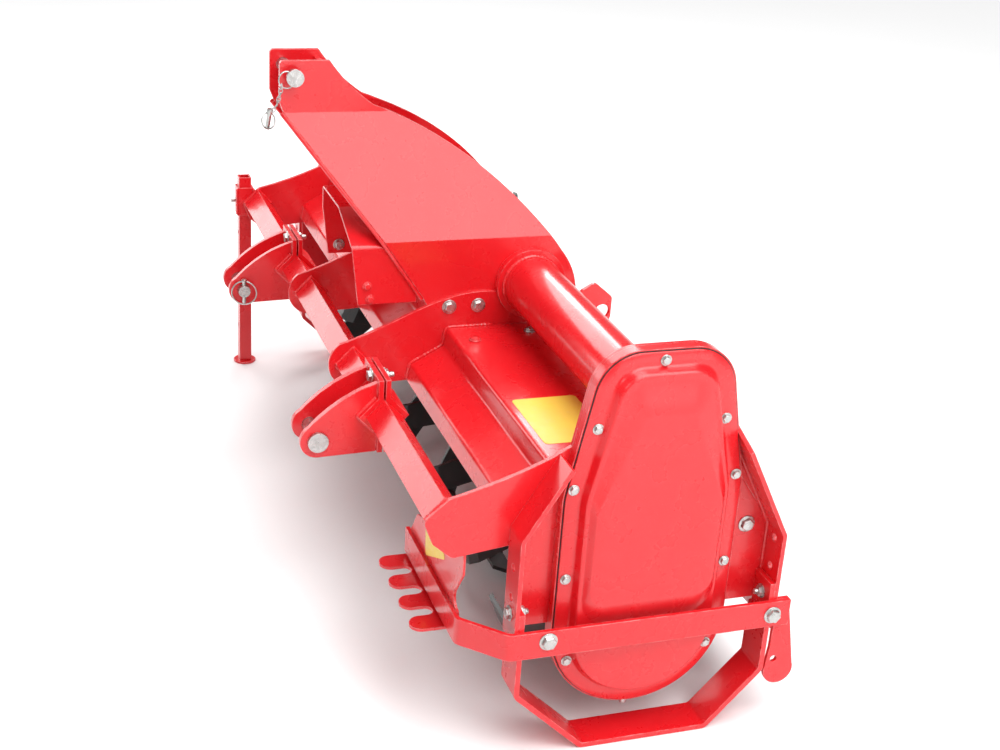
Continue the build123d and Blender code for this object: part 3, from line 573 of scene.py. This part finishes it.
HOOD_FOLDS = ((-143, 424), (-137, 459), (-68, 496), (-62, DECK_Z), (40, DECK_Z))
TUBE_SEAM_R = 61
hood_line = bent(HOOD_FOLDS, 10)
bm = bmesh.new()
for side in SIDES:
    for x in (204, 214):
        bead(bm, [mm(side * x, point.x - 1, point.y + 1) for point in hood_line], 0.0042)
        bead(bm, bar_seam(side * x), 0.0045)
    bead(bm, bar_seam(side * 879.5), 0.0045)
    for x in (224, 879.5):
        bead(bm, round_seam(side * x, SHAFT_Z, TUBE_SEAM_R), 0.0045)
    bead(bm, seam(side * 890, ((-135, 246), (-135, 442), (-60, 565))), 0.0038)
    bead(bm, seam(side * 890, ((356, 246), (356, 398), (267, 568))), 0.0038)
    for x in (366, 459):
        bead(bm, seam(side * x, ((-272, 505), (-309, 467), (-272, 429))), 0.0042)
    for x in (300.5, 309.5):
        bead(bm, seam(side * x, ((196, 536), (244, 536))), 0.0036)
    for x in (569.5, 578.5, 621.5, 630.5):
        bead(bm, seam(side * x, ((202, 536), (244, 536))), 0.0034)
for y in (-312, -268):
    bead(bm, seam(-889.5, ((y, 434), (y, 505))), 0.0034)
piece("weld_beads", bm, weld_red, "frame", 60)

# Rounded bend of the fold along each mast plate's front edge
MAST_EDGE = ((52.5, -379, 953), (200.5, -201, 722), (201, -114, 596))
bm = bmesh.new()
for side in SIDES:
    edge = [mm(side * x, y, z) for x, y, z in MAST_EDGE]
    swept(bm, edge, 0.005, 14, sizes=(1.0, 0.9, 0.8))
piece("mast_bends", bm, red, "frame", 40)

# Bolts and weld beads of the rotor. The tines of the end discs all point inwards
DISCS, TINES = 7, 6
DISC_SPAN = 1534
TINE_HEX = 0.0095
rotor = mm(0, ROTOR_Y, ROTOR_Z)
bm = bmesh.new()
welds = bmesh.new()
for disc in range(DISCS):
    x = -DISC_SPAN / 2 + disc * DISC_SPAN / (DISCS - 1)
    for side in SIDES:
        bead(welds, round_seam(x + side * 4.5, ROTOR_Z, 39, 30), 0.004)
    for tine in range(TINES):
        turn = math.radians(360 / TINES * (tine + disc / DISCS))
        points_right = disc == 0 or (tine % 2 == 0 and disc < DISCS - 1)
        way = 1 if points_right else -1
        for reach in (74, 95):
            out = Vector((0, -math.sin(turn), math.cos(turn))) * reach / 1000
            hex_head(bm, rotor + out + X * (x + way * 12) / 1000, X * way, TINE_HEX)
            nut(bm, rotor + out + X * (x - way * 4) / 1000, -X * way, TINE_HEX, 0.005)
piece("tine_bolts", bm, bright, "rotor")
piece("rotor_welds", welds, black, "rotor", 60)


# Linch pins of the hitch, their rings and the chain of the top pin
def linch(bm, place, hang, ring_normal, ring_r, length):
    """A linch pin: a round pin along hang with a collar, and its spring ring."""
    hang = hang.normalized()
    turned(bm, place - hang * length / 2, hang, [
        (0.0056, 0), (0.0062, 0.001), (0.0062, 0.007),
        (0.0046, 0.008), (0.0046, length - 0.003), (0.0030, length),
    ], 18)
    hoop(bm, place + hang * 0.004, ring_normal, ring_r, 0.0017)


def chain(bm, points, pitch):
    """Oval links along points, every other one turned on edge."""
    lengths = [(after - before).length for before, after in zip(points, points[1:])]
    for link in range(int(sum(lengths) / pitch) + 1):
        along = link * pitch
        run = 0
        while run < len(lengths) - 1 and along > lengths[run]:
            along -= lengths[run]
            run += 1
        way = (points[run + 1] - points[run]).normalized()
        middle = points[run] + way * min(along, lengths[run])
        first, second = across(way)
        wide = first if link % 2 else second
        swept(bm, circle(middle, way * 0.0062, wide * 0.0036, 1.0, 18), 0.0011, 6, closed=True)


bm = bmesh.new()
for side in SIDES:
    linch(bm, mm(side * 358.5, -385, 419), -Z, X + Y * 0.25 * side, 0.029, 0.060)
linch(bm, mm(66, -408, 946), Vector((-0.2, -0.1, -1)), Vector((1, 0.5, 0.2)), 0.016, 0.044)
chain(bm, [mm(77, -385, 1013), mm(79, -388, 997), mm(77, -393, 978), mm(70, -404, 958)], 0.0085)
hoop(bm, mm(76, -374, 1026), Vector((1, 0.1, 0.1)), 0.0165, 0.0016)
piece("linch_pins", bm, zinc, "frame")

# Camera at the photograph's viewing angle
camera = bpy.data.objects.new("camera", bpy.data.cameras.new("camera"))
camera.data.lens = 55.41
camera.data.sensor_width = 36.0
camera_right = Vector((0.3149, 0.9470, 0.0639))
camera_up = Vector((-0.3992, 0.0710, 0.9142))
camera_back = Vector((0.8611, -0.3134, 0.4003))
camera_place = Matrix.Translation((3.0473, -0.9669, 1.7343))
camera_turn = Matrix((camera_right, camera_up, camera_back)).transposed().to_4x4()
camera.matrix_world = camera_place @ camera_turn
scene.collection.objects.link(camera)
scene.camera = camera

# Pale floor
FLOOR_HALF = 30
floor_corners = [(x * FLOOR_HALF, y * FLOOR_HALF, 0) for x, y in ((-1, -1), (1, -1), (1, 1), (-1, 1))]
floor_mesh = bpy.data.meshes.new("floor")
floor_mesh.from_pydata(floor_corners, [], [(0, 1, 2, 3)])
floor = bpy.data.objects.new("floor", floor_mesh)
scene.collection.objects.link(floor)
m = Nodes("pale_floor")
m.feed("Base Color", m.mix(m.noise(0.8), (0.90, 0.90, 0.90), (0.93, 0.93, 0.93)))
m.shader.inputs["Roughness"].default_value = 0.9
floor_mesh.materials.append(m.material)


# Soft studio light
def hang_lamp(name, light, way):
    """Put a lamp into the scene, shining along way."""
    holder = bpy.data.objects.new(name, light)
    holder.rotation_mode = "QUATERNION"
    holder.rotation_quaternion = Vector(way).to_track_quat("-Z", "Y")
    scene.collection.objects.link(holder)
    return holder


def softbox(name, place, aim, size, power):
    """A rectangular lamp that the camera doesn't see."""
    light = bpy.data.lights.new(name, "AREA")
    light.shape = "RECTANGLE"
    light.size, light.size_y = size
    light.energy = power
    holder = hang_lamp(name, light, Vector(aim) - Vector(place))
    holder.location = place
    holder.visible_camera = False


softbox("side", (4.2, 1.2, 3.9), aim=(0.1, 0, 0.6), size=(4.0, 4.0), power=190)
softbox("front", (2.6, -4.4, 4.2), aim=(0.3, 0, 0.5), size=(3.0, 2.0), power=50)
softbox("back", (-4.4, -0.1, 3.65), aim=(0.2, 0, 0.5), size=(4.0, 1.1), power=75)
softbox("back_left", (-4.4, -2.4, 1.7), aim=(0, 0, 0.4), size=(4.2, 1.8), power=80)
softbox("back_strip", (-4.4, 1.5, 3.1), aim=(0.3, 0.1, 0.6), size=(1.1, 0.8), power=26)
softbox("low_side", (5.6, 2.0, 1.0), aim=(0.5, 0, 0.5), size=(4.0, 1.3), power=30)
overhead = bpy.data.lights.new("overhead", "SUN")
overhead.energy = 2.6
overhead.angle = math.radians(52)
hang_lamp("overhead", overhead, (-0.14, -0.10, -1))

# White backdrop, which lights the machine only faintly
BACKDROP_LIGHT, BACKDROP_SEEN = 0.16, 0.95
world = bpy.data.worlds.new("studio")
world.use_nodes = True
backdrop = world.node_tree.nodes["Background"]
backdrop.inputs["Color"].default_value = (1, 1, 1, 1)
seen = world.node_tree.nodes.new("ShaderNodeLightPath").outputs["Is Camera Ray"]
strength = world.node_tree.nodes.new("ShaderNodeMapRange")
strength.inputs["To Min"].default_value = BACKDROP_LIGHT
strength.inputs["To Max"].default_value = BACKDROP_SEEN
world.node_tree.links.new(seen, strength.inputs["Value"])
world.node_tree.links.new(strength.outputs["Result"], backdrop.inputs["Strength"])
scene.world = world
scene.view_settings.view_transform = "Standard"
